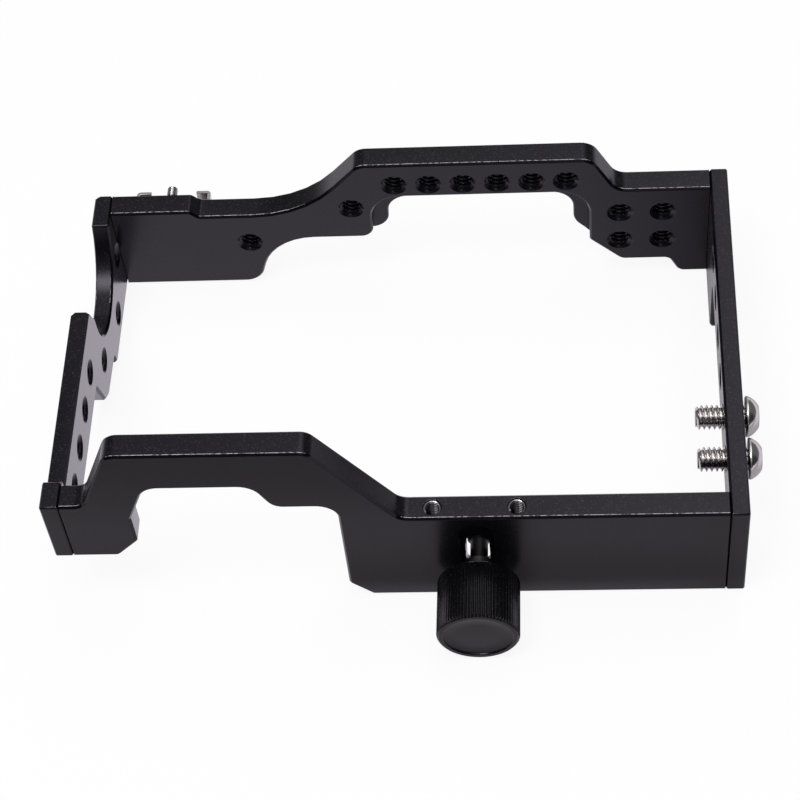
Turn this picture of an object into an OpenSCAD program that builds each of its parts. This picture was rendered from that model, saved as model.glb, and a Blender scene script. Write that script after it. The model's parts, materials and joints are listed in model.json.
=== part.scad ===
// Camera cage: four milled plates screwed into a frame, with a captive camera
// screw, a cold shoe, two thread inserts and two grip screws.
// It lies on its back: X runs along the camera's width, Y from the bottom plate
// to the top plate, Z along the lens axis. Millimetres.

/* [Cage frame] */
// Outside width across the two side plates
cage_w = 172; // [168:1:180]
// Outside depth from the bottom plate's face to the top plate's face
cage_d = 110.3; // [106:0.1:120]
// Height of the full-height corners
corner_h = 34.7; // [33.5:0.1:38]
// Thickness of the two side plates
side_t = 4.8; // [4.4:0.1:6]
// Thickness of the bottom plate
bottom_t = 7; // [6:0.1:8]
// Thickness of the top plate
top_t = 7; // [6:0.1:8]
// Distance from the cage's middle to the lens axis
lens_x = 19.6; // [18:0.1:21]

/* [Bottom plate] */
// Height of the raised band's top edge
bottom_band_z = 63.4; // [60:0.1:66]
// From the cage's left side to the raised band's top edge
bottom_band_inset = 19.3; // [18:0.1:21]
// Width of the raised band's top edge
bottom_band_w = 48.4; // [46:0.1:50]
// Width of the slope at the band's left end
left_slope_w = 8.5; // [7:0.1:10]
// Width of the slope at the band's right end
right_slope_w = 19.9; // [17:0.1:21]
// Height of the battery arch's top edge
battery_arch_z = 49.5; // [48:0.1:51]
// From the cage's left side to the battery arch
battery_inset = 21.8; // [20:0.1:24]
// Width of the battery arch
battery_w = 50.8; // [49:0.1:52]
// Height of the lower ledge in the battery arch
battery_ledge_z = 40.6; // [39:0.1:42]
// Width of the lower ledge, with the slope up to the arch
battery_ledge_w = 19.9; // [18:0.1:22]
// Width of the slope from the ledge up to the arch
battery_slope_w = 4.4; // [3.5:0.1:5]
// Underside of the short left foot
short_foot_z = 20.2; // [19:0.1:21]
// Top of the short left foot
short_foot_top_z = 42.2; // [41:0.1:43.5]

/* [Top plate] */
// Height of the raised band's top edge
top_band_z = 47; // [45:0.1:49]
// Height of the finder arch's top edge
finder_arch_z = 34.2; // [33.5:0.1:35]
// Width of the finder arch
finder_arch_w = 59; // [57.5:0.5:60.5]
// Reach of the lip behind the arch at each of its ends
arch_lip_w = 4.3; // [3.5:0.1:5]
// Reach of the lip behind the arch below its top edge
arch_lip_h = 3.7; // [3:0.1:4]
// Depth of the arch's wider front, before the lip
arch_lip_depth = 3.5; // [3:0.1:4]
// Width of the slope at the band's left end
finder_slope_left = 16.4; // [15:0.1:18]
// Width of the slope at the band's right end
finder_slope_right = 6.4; // [5.5:0.1:7.5]
// Height at which the arch's right wall turns outwards
arch_foot_z = 14.3; // [13:0.1:15]
// Width of the slope under the arch's right wall
arch_foot_w = 8.6; // [7.5:0.1:9.5]
// Height of the left end's top edge
left_end_z = 30.2; // [29.5:0.1:31]
// Length of the left end's top edge
left_end_w = 26.6; // [25:0.1:28]
// Depth of the shallow step beside the shoe
left_end_step = 2.2; // [1.5:0.1:2.8]
// Height of the left notch under the top plate
left_notch_z = 18; // [17:0.1:19]
// From the cage's left side to the left notch
left_notch_inset = 42.7; // [41.5:0.1:44]
// Height of the small notch at the right end
right_notch_z = 5.7; // [4.5:0.1:6]
// Length of the top plate's right foot
right_corner_w = 12.4; // [12:0.1:14]

/* [Side plates] */
// Height of the left rail's lower edge
left_rail_z0 = 20.2; // [19:0.1:21]
// Height of the left rail's upper edge
left_rail_z1 = 37.7; // [37:0.1:38.5]
// Length of the block at the left rail's near end
left_block_l = 8.75; // [8:0.05:10]
// Length of the left rail's underside
left_rail_l = 52.15; // [50:0.05:54]
// Underside of the web under the finger cut
left_web_z = 5.4; // [4.8:0.1:6]
// Length of the left plate's foot at the top plate
left_foot_l = 36.25; // [35:0.05:38]
// Underside of the left plate's foot
left_foot_z = 1.4; // [0.5:0.1:2]
// Chamfer on the left plate's upright corners
corner_chamfer = 1.1; // [0.8:0.1:1.3]
// End of the finger cut at the left rail's tip
finger_cut_y0 = 8.7; // [8:0.1:10]
// End of the finger cut at the top plate's corner
finger_cut_y1 = 44.3; // [43:0.1:46]
// Deepest point of the finger cut
finger_cut_z = 15.6; // [14.5:0.1:18]
// Height of the right rail's lower edge
right_rail_z0 = 20.4; // [19.5:0.1:21]
// Length of the right plate's foot at the bottom plate
right_foot_near = 12.6; // [11:0.1:14]
// Length of the right plate's foot at the top plate
right_foot_far = 28; // [24:0.5:30]

/* [Threaded holes] */
// Wall radius of the quarter inch accessory holes
accessory_r = 3.175; // [3:0.025:3.3]
// Radius of the countersink at the mouth of each accessory hole
countersink_r = 3.6; // [3.4:0.05:3.8]
// Pitch of the six holes in the top plate's band
top_row_pitch = 9.2; // [8.6:0.1:9.4]
// Height of the six holes in the top plate's band
top_row_z = 39.1; // [38.6:0.1:40.5]
// Pitch of the square group in the top plate
square_pitch = 11.5; // [10:0.1:12]
// From the cage's right side to the middle of the square group
square_inset = 22.9; // [22:0.1:23.4]
// Height of the middle of the square group
square_z = 19.9; // [19:0.1:21]
// Pitch of the holes in the left rail
left_row_pitch = 11.9; // [10.5:0.1:12.2]
// From the bottom plate's face to the last hole in the left rail
left_row_inset = 50.75; // [49:0.05:52]
// Pitch of the holes in the right rail
right_row_pitch = 12.7; // [11.5:0.1:13]
// From the bottom plate's face to the first hole in the right rail
right_row_inset = 20.25; // [19:0.05:22]
// Height of the holes in the right rail
right_row_z = 28.7; // [27:0.1:29.2]

/* [Camera screw] */
// Width of the slot right through the bottom plate
slot_w = 6; // [5.6:0.1:6.1]
// Width of the slot's outer recess
slot_recess_w = 8.4; // [8:0.1:9]
// Depth of the slot's outer recess
slot_recess_d = 2.2; // [1.8:0.1:2.6]
// Height of the slot's upper end, at the middle of its round
slot_top_z = 20.6; // [18:0.1:24]
// Height of the recess's upper end, at the middle of its round
recess_top_z = 27.4; // [26:0.1:28]
// Free length of the slot below the screw where it rests
slot_end_room = 2; // [0.8:0.1:2.4]
// Diameter of the knob over its ribs
knob_d = 20.7; // [18:0.1:20.7]
// Length of the knob
knob_l = 16; // [12:0.1:18]
// Number of ribs round the knob
knob_ribs = 72; // [48:1:80]
// Depth of the grooves between the ribs
rib_depth = 0.35; // [0.2:0.05:0.5]
// Gap from the bottom plate to the knob at rest
knob_gap = 3; // [2.6:0.1:4]
// Radius of the screw's plain neck
neck_r = 2.25; // [2:0.05:2.4]
// Major radius of the camera thread
thread_r = 3.1; // [3.05:0.01:3.12]
// Length of the camera thread
thread_l = 6; // [4.5:0.1:7]
// Outside radius of the washer behind the knob
knob_washer_r = 7; // [6:0.1:8]
// Thickness of the washer behind the knob
knob_washer_t = 1; // [0.8:0.05:1.2]
// Radial room between the washers and the neck
washer_room = 0.4; // [0.3:0.05:0.5]

/* [Cold shoe] */
// From the cage's left side to the middle of the shoe
shoe_inset = 20.9; // [20.6:0.1:22]
// From the left end's top edge down to the shoe's upper end
shoe_drop = 3.6; // [3.4:0.1:4.2]
// Length of the shoe along its channel
shoe_l = 18; // [16:0.5:20]
// Height of the stop screw over the shoe's upper end
stop_screw_rise = 1.7; // [1.6:0.1:1.9]
// Radius of the stop screw
stop_screw_r = 1.4; // [1.2:0.05:1.45]
// Clear width of the channel
shoe_slot_w = 18.7; // [18.6:0.05:19]
// Clear height of the channel
shoe_slot_h = 2.1; // [2:0.05:2.3]
// Thickness of the shoe's bent sheet
shoe_t = 0.95; // [0.8:0.05:1.2]
// Width of each lip over the channel
shoe_lip = 3.1; // [2.6:0.1:3.4]

/* [Fasteners] */
// Radius of the corner screws' threads
corner_screw_r = 1.5; // [1.4:0.05:1.6]
// Length of the corner screws
corner_screw_l = 12; // [10:0.5:14]
// Radius of the corner screws' flat heads
corner_head_r = 2.9; // [2.7:0.05:3]
// Length of the grip screws under their heads
grip_screw_l = 12.4; // [11:0.1:14]
// Diameter of the grip screws' button heads
grip_head_d = 10.4; // [9.5:0.1:11.1]
// Height of the grip screws' button heads
grip_head_h = 3.35; // [3:0.05:3.6]
// Gap under the grip screws' heads at rest
grip_gap = 0.7; // [0.5:0.1:1]
// Distance between the two thread inserts
insert_pitch = 20.6; // [19:0.1:22]
// Outside radius of the thread inserts
insert_r = 2.25; // [2.1:0.05:2.5]

/* [Hidden] */
plate_names = ["bottom_plate", "top_plate", "left_plate", "right_plate"];
corner_names = [
  for (corner = ["bottom_left", "bottom_right", "top_left", "top_right"])
    for (place = ["lower", "upper"])
      str("screw_", corner, "_", place)
];

$fn = 64;
cut = 0.5;             // how far a cutting shape runs past the face it opens
arc_step = 11;         // largest turn in degrees between points of an arc

inner_x = cage_w / 2 - side_t;
outer_x = cage_w / 2;
outer_y = cage_d / 2;
bottom_in_y = bottom_t - outer_y;

// The knob rests on the table. It hangs clear of the slot washer, which rides in
// the slot's recess.
screw_z = knob_d / 2;
slot_low_z = screw_z - slot_end_room;
washer_play = 0.1;
slot_washer_t = slot_recess_d - 2 * washer_play;
knob_back_y = -outer_y - knob_gap;
knob_face_y = knob_back_y - knob_l;
neck_end_y = bottom_in_y + 1.5;

grip_head_x = outer_x + grip_gap;
grip_top_x = grip_head_x + grip_head_h;
shoe_h = shoe_slot_h + 2 * shoe_t;
shoe_out_y = outer_y + shoe_h;

// The origin is the middle of the whole object's footprint, on the table.
origin_x = (grip_top_x - outer_x) / 2;
origin_y = (shoe_out_y + knob_face_y) / 2;

black = [0.17, 0.165, 0.185];
steel = [0.72, 0.71, 0.70];

// ---- Outlines with rounded corners: each vertex is [across, up, radius] ----

function place(v) = [v[0], v[1]];
function unit(v) = v / norm(v);
function turned(v, a) = [v[0] * cos(a) - v[1] * sin(a), v[0] * sin(a) + v[1] * cos(a)];

// The arc that rounds vertex b, which lies between a and c.
function rounded(a, b, c, r) =
  let (
    u = unit(a - b),
    v = unit(c - b),
    half = acos(u * v) / 2,
    middle = b + unit(u + v) * r / sin(half),
    first = b + u * r / tan(half) - middle,
    side = sign(u[1] * v[0] - u[0] * v[1]),
    sweep = 180 - 2 * half,
    steps = max(2, ceil(sweep / arc_step))
  )
  [for (i = [0:steps]) middle + turned(first, side * sweep * i / steps)];

function outline(p) = [
  for (i = [0:len(p) - 1])
    let (
      a = place(p[(i + len(p) - 1) % len(p)]),
      b = place(p[i]),
      c = place(p[(i + 1) % len(p)])
    )
    each p[i][2] > 0 ? rounded(a, b, c, p[i][2]) : [b]
];

// ---- Placing and common cuts ----

module at_origin() {
  translate([-origin_x, -origin_y, 0]) children();
}

// A plate drawn in X and Z, with its far face at y.
module plate_xz(y, t) {
  translate([0, y, 0]) rotate([90, 0, 0]) linear_extrude(t) children();
}

// A plate drawn in Y and Z, with its left face at x.
module plate_yz(x, t) {
  translate([x, 0, 0]) rotate([90, 0, 90]) linear_extrude(t) children();
}

// A hole along +Z from z = 0 to t, with a countersink at each mouth.
module countersunk(t) {
  sink = countersink_r - accessory_r;
  translate([0, 0, -cut]) cylinder(r = accessory_r, h = t + 2 * cut);
  translate([0, 0, t - sink])
    cylinder(r1 = accessory_r, r2 = countersink_r + cut, h = sink + cut);
  translate([0, 0, -cut])
    cylinder(r1 = countersink_r + cut, r2 = accessory_r, h = sink + cut);
}

module hole_through_y(x, z, y, t) {
  translate([x, y, z]) rotate([90, 0, 0]) countersunk(t);
}

module hole_through_x(y, z, x) {
  translate([x, y, z]) rotate([0, 90, 0]) countersunk(side_t);
}

// The eight corner screws: [side, y, z], two in each end of the two long plates.
corner_inset = 7;
short_inset = 5.5;
bottom_screw_y = bottom_t / 2 - outer_y;
top_screw_y = outer_y - top_t / 2;
corner_screws = [
  [-1, bottom_screw_y, short_foot_z + short_inset],
  [-1, bottom_screw_y, short_foot_top_z - short_inset],
  [1, bottom_screw_y, corner_inset],
  [1, bottom_screw_y, corner_h - corner_inset],
  [-1, top_screw_y, corner_inset],
  [-1, top_screw_y, left_end_z - corner_inset],
  [1, top_screw_y, corner_inset],
  [1, top_screw_y, corner_h - corner_inset]
];
head_rim = 0.35;
head_room = 0.05;

// Places children at corner screw i, with +Z running into the cage from its side.
module at_corner(i) {
  s = corner_screws[i];
  translate([s[0] * outer_x, s[1], s[2]]) rotate([0, -s[0] * 90, 0]) children();
}

// The hole that a corner screw needs, with room for its flat head.
module corner_hole() {
  hole_r = corner_screw_r + head_room;
  mouth_r = corner_head_r + head_room;
  rim = head_rim + head_room;
  rotate_extrude() polygon([
    [0, -cut],
    [mouth_r, -cut],
    [mouth_r, rim],
    [hole_r, rim + mouth_r - hole_r],
    [hole_r, corner_screw_l + 0.5],
    [0, corner_screw_l + 0.5]
  ]);
}

// ---- Plates ----

battery_x0 = battery_inset - outer_x;
battery_x1 = battery_x0 + battery_w;
ledge_x = battery_x1 - battery_ledge_w;
band_x0 = bottom_band_inset - outer_x;
band_x1 = band_x0 + bottom_band_w;
bottom_outline = [
  [-inner_x, short_foot_z, 0],
  [battery_x0 - 5.6, short_foot_z, 1.6],
  [battery_x0, short_foot_z + 6.2, 1.6],
  [battery_x0, short_foot_z + 16.3, 1.6],
  [battery_x0 + 5.1, battery_arch_z, 5.3],
  [ledge_x, battery_arch_z, 5.4],
  [ledge_x + battery_slope_w, battery_ledge_z, 4.4],
  [battery_x1, battery_ledge_z, 5.3],
  [battery_x1, 5.4, 1.5],
  [battery_x1 + 5.6, 0, 1],
  [inner_x, 0, 0],
  [inner_x, corner_h, 0],
  [band_x1 + right_slope_w, corner_h, 4],
  [band_x1, bottom_band_z, 4],
  [band_x0, bottom_band_z, 4],
  [band_x0 - left_slope_w, short_foot_top_z, 3.5],
  [-inner_x, short_foot_top_z, 0]
];

// A slot for the camera screw as a shape along +Y, rounded at its low end and at z1.
module slot_cut(w, y, l, z1) {
  for (z = [slot_low_z, z1])
    translate([lens_x, y, z]) rotate([-90, 0, 0]) cylinder(r = w / 2, h = l);
  translate([lens_x - w / 2, y, slot_low_z]) cube([w, l, z1 - slot_low_z]);
}

insert_l = 8;
insert_bore_r = 1.65;
insert_y = bottom_t / 2 - outer_y;

module at_insert(side) {
  translate([lens_x + side * insert_pitch / 2, insert_y, corner_h - insert_l]) children();
}

module bottom_plate() {
  at_origin() color(black) difference() {
    plate_xz(bottom_in_y, bottom_t) polygon(outline(bottom_outline));
    slot_cut(slot_w, -outer_y - cut, bottom_t + 2 * cut, slot_top_z);
    slot_cut(slot_recess_w, -outer_y - cut, slot_recess_d + cut, recess_top_z);
    for (i = [0:3]) at_corner(i) corner_hole();
    for (side = [-1, 1]) at_insert(side) cylinder(r = insert_r, h = insert_l + cut);
  }
}

arch_x0 = lens_x - finder_arch_w / 2;
arch_x1 = lens_x + finder_arch_w / 2;
top_band_x0 = arch_x0 - 2.3;
top_band_x1 = arch_x1 + 0.9;
notch_x = left_notch_inset - outer_x;
left_end_x = left_end_w - outer_x;
step_z = left_end_z - left_end_step;
foot_x = outer_x - right_corner_w;
arch_foot_slope = (arch_foot_z - right_notch_z) / arch_foot_w;

// The top plate's outline, with its arch narrower by a lip at each end and lower by a
// drop. The radii are those at the lip's left corner, in the arch and at its foot.
function top_outline(lip, drop, corner_r, arch_r, foot_r) = [
  [-inner_x, 0, 0],
  [notch_x, 0, 5.5],
  [notch_x + 5.4, left_notch_z, 15.5],
  [arch_x0 + lip, left_notch_z, corner_r],
  [arch_x0 + lip, finder_arch_z - drop, arch_r],
  [arch_x1 - lip, finder_arch_z - drop, arch_r],
  [arch_x1 - lip, arch_foot_z + lip * arch_foot_slope, foot_r],
  [arch_x1 + arch_foot_w, right_notch_z, 3],
  [foot_x - 2.8, right_notch_z, 2.4],
  [foot_x, 0, 2.4],
  [inner_x, 0, 0],
  [inner_x, corner_h, 0],
  [top_band_x1 + finder_slope_right, corner_h, 5],
  [top_band_x1, top_band_z, 5],
  [top_band_x0, top_band_z, 4.5],
  [top_band_x0 - finder_slope_left, step_z, 30],
  [left_end_x + 2.4, step_z, 1.5],
  [left_end_x, left_end_z, 1.5],
  [-inner_x, left_end_z, 0]
];

top_row_x = [for (i = [-2.5:1:2.5]) lens_x + 0.5 + i * top_row_pitch];
square_x = outer_x - square_inset;
// The two single holes of the top plate, as [x, z]: over the notch and beside the arch.
top_single = [[notch_x - 1.1, left_notch_z - 1], [arch_x0 - 5.3, left_end_z - 0.1]];

shoe_x = shoe_inset - outer_x;
shoe_top_z = left_end_z - shoe_drop;
shoe_mid_z = shoe_top_z - shoe_l / 2;
shoe_screw_r = 1.2;
shoe_screw_l = 5;
shoe_screw_pitch_x = 9;
shoe_screw_pitch_z = 8;
shoe_screw_room = 0.03;
shoe_screw_spots = [
  for (x = [-0.5, 0.5]) for (z = [-0.5, 0.5])
    [shoe_x + x * shoe_screw_pitch_x, shoe_mid_z + z * shoe_screw_pitch_z]
];
stop_screw_spot = [shoe_x, shoe_top_z + stop_screw_rise];

// Places children at a hole of the shoe, with +Z running into the top plate.
module at_shoe_hole(spot, y) {
  translate([spot[0], y, spot[1]]) rotate([90, 0, 0]) children();
}

module top_plate() {
  at_origin() color(black) difference() {
    union() {
      plate_xz(outer_y, top_t) polygon(outline(top_outline(0, 0, 3.3, 8.5, 1.5)));
      plate_xz(outer_y, top_t - arch_lip_depth)
        polygon(outline(top_outline(arch_lip_w, arch_lip_h, 5, 6, 6)));
    }
    for (x = top_row_x) hole_through_y(x, top_row_z, outer_y, top_t);
    for (x = [-0.5, 0.5]) for (z = [-0.5, 0.5])
      hole_through_y(square_x + x * square_pitch, square_z + z * square_pitch, outer_y, top_t);
    for (spot = top_single) hole_through_y(spot[0], spot[1], outer_y, top_t);
    for (i = [4:7]) at_corner(i) corner_hole();
    for (spot = shoe_screw_spots) at_shoe_hole(spot, outer_y + cut)
      cylinder(r = shoe_screw_r + shoe_screw_room, h = shoe_screw_l + cut);
    at_shoe_hole(stop_screw_spot, outer_y + cut)
      cylinder(r = stop_screw_r + shoe_screw_room, h = shoe_screw_l + cut);
  }
}

left_row_y = [for (i = [0:3]) left_row_inset - outer_y - i * left_row_pitch];
left_row_z = (left_rail_z0 + left_rail_z1) / 2;
// The left plate's single holes, as [y, z], round the finger cut.
left_single = [
  [finger_cut_y0 + 0.5, left_web_z + 10.7],
  [outer_y - left_foot_l + 12.8, left_web_z + 2.1],
  [finger_cut_y1 + 0.3, left_end_z - 13.2]
];
rail_end_y = left_rail_l - outer_y;
left_foot_y = outer_y - left_foot_l;
block_y = left_block_l - outer_y;

// The finger cut's far side leans, and its two rounds meet at the deepest point.
cut_lean = 17;
cut_h = left_end_z - finger_cut_z;
cut_far_y = finger_cut_y1 - cut_h * tan(cut_lean);
cut_far_l = cut_h / cos(cut_lean) - 0.7;
cut_far_r = cut_far_l / tan(45 - cut_lean / 2);
cut_near_y = finger_cut_y0 + 3.1;
cut_tip_z = left_rail_z1 - 6.2;
cut_near_r = min(cut_far_y - cut_far_l - cut_near_y, cut_tip_z - finger_cut_z) - 0.5;
left_outline = [
  [-outer_y, left_rail_z0, 0.6],
  [rail_end_y, left_rail_z0, 0.8],
  [rail_end_y + 4.2, left_web_z + 3.2, 3.2],
  [rail_end_y + 8, left_web_z + 0.7, 2],
  [left_foot_y - 0.6, left_web_z, 0.8],
  [left_foot_y, left_foot_z, 1.5],
  [outer_y, left_foot_z, 0.6],
  [outer_y, left_end_z, 0.6],
  [finger_cut_y1, left_end_z, 0.8],
  [cut_far_y, finger_cut_z, cut_far_r],
  [cut_near_y, finger_cut_z, cut_near_r],
  [cut_near_y - 0.3, cut_tip_z, 2],
  [finger_cut_y0, left_rail_z1, 0.5],
  [block_y, left_rail_z1, 1],
  [block_y - 0.8, short_foot_top_z, 1],
  [-outer_y, short_foot_top_z, 0.6]
];

// A four-sided bar about an upright corner cuts a chamfer as wide as its radius.
module corner_bar(x, y, z0, z1) {
  translate([x, y, z0]) cylinder(r = corner_chamfer, h = z1 - z0, $fn = 4);
}

// The rail's tip leans over the finger cut, and its chamfer runs out down the cut.
module tip_bar(x) {
  tip = [cut_near_y - finger_cut_y0, left_rail_z1 - cut_tip_z];
  translate([x, cut_near_y, cut_tip_z]) rotate([atan(tip[0] / tip[1]), 0, 0])
    cylinder(r1 = 0.1, r2 = corner_chamfer, h = norm(tip) + cut, $fn = 4);
}

module left_plate() {
  at_origin() color(black) difference() {
    plate_yz(-outer_x, side_t) polygon(outline(left_outline));
    corner_bar(-outer_x, outer_y, left_foot_z - cut, left_end_z + cut);
    corner_bar(-outer_x, block_y, left_rail_z1 - 0.6, short_foot_top_z + cut);
    for (x = [-outer_x, -inner_x]) tip_bar(x);
    for (y = left_row_y) hole_through_x(y, left_row_z, -outer_x);
    for (spot = left_single) hole_through_x(spot[0], spot[1], -outer_x);
    for (i = [0, 1, 4, 5]) at_corner(i) corner_hole();
  }
}

right_row_y = [for (i = [0:5]) right_row_inset - outer_y + i * right_row_pitch];
near_foot_y = right_foot_near - outer_y;
far_foot_y = outer_y - right_foot_far;
right_outline = [
  [-outer_y, 0, 0.6],
  [near_foot_y, 0, 2.5],
  [near_foot_y, right_rail_z0, 3],
  [far_foot_y, right_rail_z0, 3],
  [far_foot_y, 0, 3],
  [outer_y, 0, 0.6],
  [outer_y, corner_h, 0.6],
  [-outer_y, corner_h, 0.6]
];

module right_plate() {
  at_origin() color(black) difference() {
    plate_yz(inner_x, side_t) polygon(outline(right_outline));
    for (y = right_row_y) hole_through_x(y, right_row_z, inner_x);
    for (i = [2, 3, 6, 7]) at_corner(i) corner_hole();
  }
}

// ---- Fasteners ----

module hex_socket(r, depth) {
  translate([0, 0, -cut]) cylinder(r = r, h = depth + cut, $fn = 6);
}

// A flat head screw along +Z, with its head's face at z = 0 and a hexagon socket.
module corner_screw(i) {
  at_origin() color(black) at_corner(i) translate([0, 0, head_room]) difference() {
    rotate_extrude() polygon([
      [0, 0],
      [corner_head_r, 0],
      [corner_head_r, head_rim],
      [corner_screw_r, head_rim + corner_head_r - corner_screw_r],
      [corner_screw_r, corner_screw_l],
      [0, corner_screw_l]
    ]);
    hex_socket(1.15, 1.1);
  }
}

// A button head screw along +X: its head stands off the right plate and its
// thread runs into the cage. Its dome is part of a circle from the flat crown to the rim.
grip_head_r = grip_head_d / 2;
grip_crown_r = 2.75;
grip_rim = 0.6;
dome_w = grip_head_r - grip_crown_r;
dome_h = grip_head_h - grip_rim;
dome_lean = atan(dome_h / dome_w);
dome_half = 20;
dome_r = dome_w / (2 * cos(dome_lean) * sin(dome_half));
function on_dome(a) = [
  grip_crown_r + dome_r * (sin(dome_lean + a) - sin(dome_lean - dome_half)),
  dome_r * (cos(dome_lean - dome_half) - cos(dome_lean + a))
];
module grip_screw(i) {
  at_origin() color(steel)
    translate([grip_top_x, right_row_y[i], right_row_z]) rotate([0, -90, 0]) difference() {
      rotate_extrude() polygon(concat(
        [for (a = [-dome_half:5:dome_half]) on_dome(a)],
        [
          [grip_head_r, grip_head_h - 0.3],
          [grip_head_r - 0.3, grip_head_h],
          [thread_r, grip_head_h],
          [thread_r, grip_head_h + grip_screw_l - 0.7],
          [thread_r - 0.7, grip_head_h + grip_screw_l],
          [0, grip_head_h + grip_screw_l],
          [0, 0]
        ]
      ));
      hex_socket(2.3, 2.2);
    }
}

module thread_insert(side) {
  at_origin() color(steel) at_insert(side) difference() {
    cylinder(r = insert_r, h = insert_l);
    translate([0, 0, -cut]) cylinder(r = insert_bore_r, h = insert_l + 2 * cut);
  }
}

// ---- Camera screw, knob and washers: all turned about the slot's axis ----

module on_screw_axis(y) {
  translate([lens_x, y, screw_z]) rotate([-90, 0, 0]) children();
}

// The screw's core is pressed into the knob.
core_r = 3;
core_l = 9;
module camera_screw() {
  neck_l = neck_end_y - knob_back_y;
  thread_end = neck_l + thread_l;
  at_origin() color(black) on_screw_axis(knob_back_y) rotate_extrude() polygon([
    [0, -core_l],
    [core_r, -core_l],
    [core_r, 0],
    [neck_r, 0],
    [neck_r, neck_l],
    [thread_r, neck_l + thread_r - neck_r],
    [thread_r, thread_end - 0.8],
    [thread_r - 0.8, thread_end],
    [0, thread_end]
  ]);
}

// The knob's ribbed section: a rounded wave round a circle.
knob_r = knob_d / 2;
knob_wave = [
  for (i = [0:knob_ribs - 1]) for (step = [[0, 0], [0.3, 0], [0.5, 1], [0.8, 1]])
    let (a = 360 * (i + step[0]) / knob_ribs)
    (knob_r - rib_depth * step[1]) * [cos(a), sin(a)]
];

knob_rim = 0.6;
face_recess_r = 8.7;
face_recess = 0.5;
module knob() {
  at_origin() color(black) on_screw_axis(knob_face_y) difference() {
    intersection() {
      linear_extrude(knob_l) polygon(knob_wave);
      rotate_extrude() polygon([
        [0, 0],
        [knob_r - knob_rim, 0],
        [knob_r + 0.01, knob_rim],
        [knob_r + 0.01, knob_l - knob_rim],
        [knob_r - knob_rim, knob_l],
        [0, knob_l]
      ]);
    }
    translate([0, 0, -cut]) cylinder(r = face_recess_r, h = face_recess + cut);
    translate([0, 0, knob_l - core_l]) cylinder(r = core_r, h = core_l + cut);
  }
}

module washer(y, outer_r, t) {
  on_screw_axis(y) difference() {
    cylinder(r = outer_r, h = t);
    translate([0, 0, -cut]) cylinder(r = neck_r + washer_room, h = t + 2 * cut);
  }
}

module knob_washer() {
  at_origin() color(black)
    washer(knob_back_y + washer_play, knob_washer_r, knob_washer_t);
}

module slot_washer() {
  at_origin() color(steel)
    washer(washer_play - outer_y, slot_recess_w / 2 - washer_play, slot_washer_t);
}

// ---- Cold shoe ----

// One half of the bent sheet's section, in X and Y over the plate's face.
module shoe_half() {
  half = shoe_slot_w / 2;
  difference() {
    square([half + shoe_t, shoe_h]);
    translate([-cut, shoe_t]) square([half + cut, shoe_slot_h]);
    translate([-cut, shoe_t]) square([half - shoe_lip + cut, shoe_h]);
    translate([half + shoe_t - 1.1, shoe_h - 1.1]) difference() {
      square(1.2);
      circle(r = 1.1);
    }
  }
}

shoe_sheet_y = outer_y + shoe_t;
head_flare = 0.8;
module cold_shoe() {
  at_origin() color(steel) difference() {
    translate([shoe_x, outer_y, shoe_top_z - shoe_l])
      linear_extrude(shoe_l) {
        shoe_half();
        mirror([1, 0]) shoe_half();
      }
    for (spot = shoe_screw_spots) {
      at_shoe_hole(spot, shoe_sheet_y + cut)
        cylinder(r = shoe_screw_r + shoe_screw_room, h = shoe_t + 2 * cut);
      at_shoe_hole(spot, shoe_sheet_y + 0.01)
        cylinder(
          r1 = shoe_screw_r + head_flare + head_room,
          r2 = shoe_screw_r,
          h = head_flare + head_room
        );
    }
  }
}

module shoe_screws() {
  at_origin() color(steel) for (spot = shoe_screw_spots)
    at_shoe_hole(spot, shoe_sheet_y) difference() {
      rotate_extrude() polygon([
        [0, 0],
        [shoe_screw_r + head_flare, 0],
        [shoe_screw_r, head_flare],
        [shoe_screw_r, shoe_screw_l],
        [0, shoe_screw_l]
      ]);
      hex_socket(0.75, 0.6);
    }
}

// The stop screw stands over the shoe's upper end, a little below its lips.
module shoe_stop_screw() {
  at_origin() color(steel) at_shoe_hole(stop_screw_spot, shoe_out_y - 0.6) difference() {
    cylinder(r = stop_screw_r, h = shoe_h + shoe_screw_l - 1);
    hex_socket(0.7, 1.2);
  }
}

bottom_plate();
top_plate();
left_plate();
right_plate();
for (i = [0:7])
  corner_screw(i);
thread_insert(-1);  // insert_left
thread_insert(1);  // insert_right
camera_screw();
knob();
knob_washer();
slot_washer();
cold_shoe();
shoe_screws();
shoe_stop_screw();
grip_screw(0);  // grip_screw_near
grip_screw(1);  // grip_screw_far
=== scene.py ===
import json
import math

import bmesh
import bpy
import numpy as np
from mathutils import Matrix, Vector


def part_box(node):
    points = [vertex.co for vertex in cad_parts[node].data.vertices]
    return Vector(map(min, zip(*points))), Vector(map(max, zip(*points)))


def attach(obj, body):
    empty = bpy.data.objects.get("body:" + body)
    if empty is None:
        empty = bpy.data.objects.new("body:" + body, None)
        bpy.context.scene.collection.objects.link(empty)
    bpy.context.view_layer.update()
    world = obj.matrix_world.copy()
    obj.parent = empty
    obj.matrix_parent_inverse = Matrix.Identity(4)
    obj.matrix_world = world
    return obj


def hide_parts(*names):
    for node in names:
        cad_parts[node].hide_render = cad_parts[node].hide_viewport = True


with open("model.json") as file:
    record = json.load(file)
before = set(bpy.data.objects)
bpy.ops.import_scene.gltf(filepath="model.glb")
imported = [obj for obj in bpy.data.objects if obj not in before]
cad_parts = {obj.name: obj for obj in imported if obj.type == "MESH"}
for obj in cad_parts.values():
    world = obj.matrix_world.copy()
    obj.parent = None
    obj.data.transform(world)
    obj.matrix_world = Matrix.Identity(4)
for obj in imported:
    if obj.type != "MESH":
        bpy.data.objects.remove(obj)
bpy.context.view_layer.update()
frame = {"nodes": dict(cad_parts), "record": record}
nodes = frame["nodes"]

MM = 0.001
TURN = 2 * math.pi

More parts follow.
